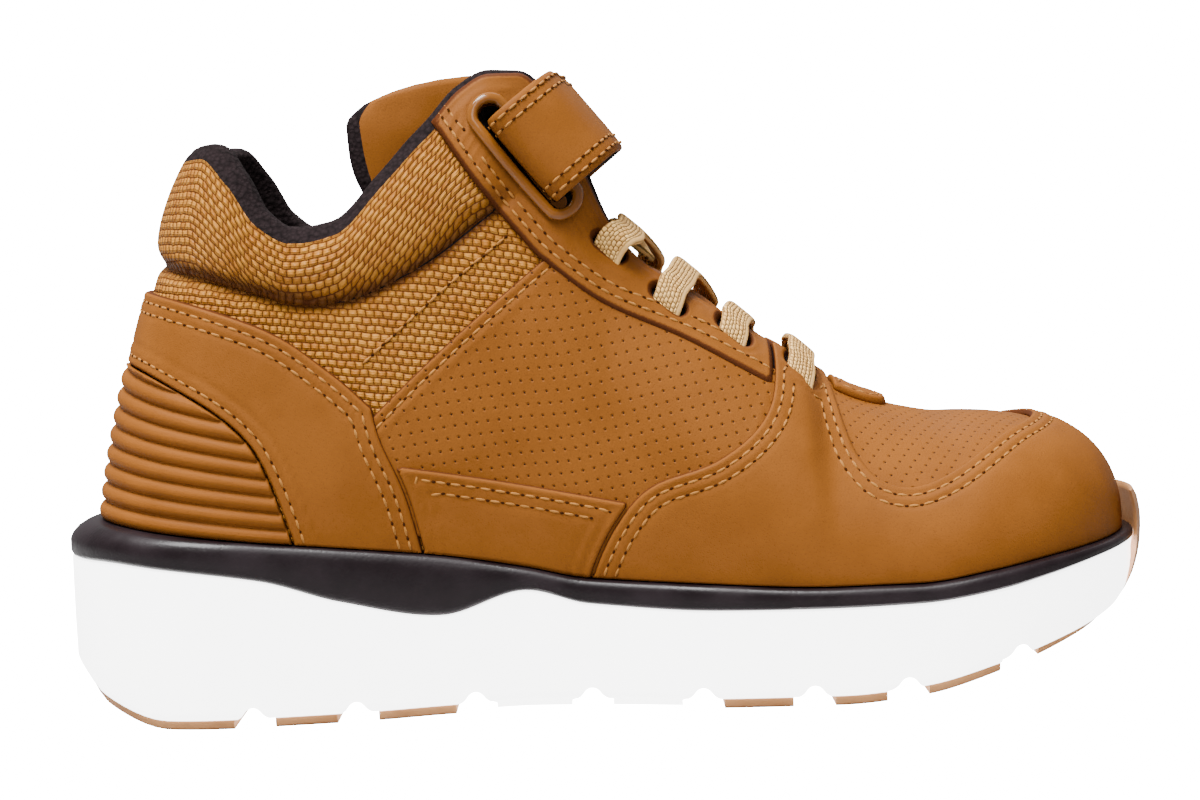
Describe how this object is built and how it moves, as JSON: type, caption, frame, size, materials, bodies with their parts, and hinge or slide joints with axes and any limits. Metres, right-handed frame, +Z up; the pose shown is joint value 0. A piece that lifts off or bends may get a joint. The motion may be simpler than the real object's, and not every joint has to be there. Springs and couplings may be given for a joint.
{
  "type": "child's winter boot",
  "caption": "Child's mid-cut winter boot in wheat nubuck leather with woven collar, elastic laces, a hook-and-loop strap through an oval grommet, and a white foam sole with tan tread",
  "frame": {"origin": "centre of the bounding box's bottom, on the floor", "axes": "+X to the toe, -Y to the inner side of the foot, +Z up"},
  "size_m": [0.2164, 0.0802, 0.1259],
  "materials": {
    "nubuck_leather": "matt",
    "woven_textile": "matt",
    "white_foam": "matt",
    "dark_rand": "satin",
    "tread_rubber": "matt",
    "mesh_lining": "matt",
    "elastic_lace": "matt",
    "grommet_plastic": "gloss"
  },
  "bodies": {
    "root": {"upper": "nubuck_leather", "heel_counter": "nubuck_leather", "heel_ribs": "nubuck_leather", "toe_guard": "nubuck_leather", "eyestay_inner": "nubuck_leather", "eyestay_outer": "nubuck_leather", "mid_panel_inner": "nubuck_leather", "mid_panel_outer": "nubuck_leather", "strap": "nubuck_leather", "vamp_tab": "nubuck_leather", "tongue": "nubuck_leather", "collar": "woven_textile", "midsole": "white_foam", "rand": "dark_rand", "tread_pad_1": "tread_rubber", "tread_pad_2": "tread_rubber", "tread_pad_3": "tread_rubber", "tread_pad_4": "tread_rubber", "tread_pad_5": "tread_rubber", "tread_pad_6": "tread_rubber", "tread_pad_7": "tread_rubber", "toe_shield": "tread_rubber", "insole": "mesh_lining", "grommet": "grommet_plastic", "lace_1": "elastic_lace", "lace_2": "elastic_lace", "lace_3": "elastic_lace", "lace_4": "elastic_lace"}
  },
  "joints": []
}
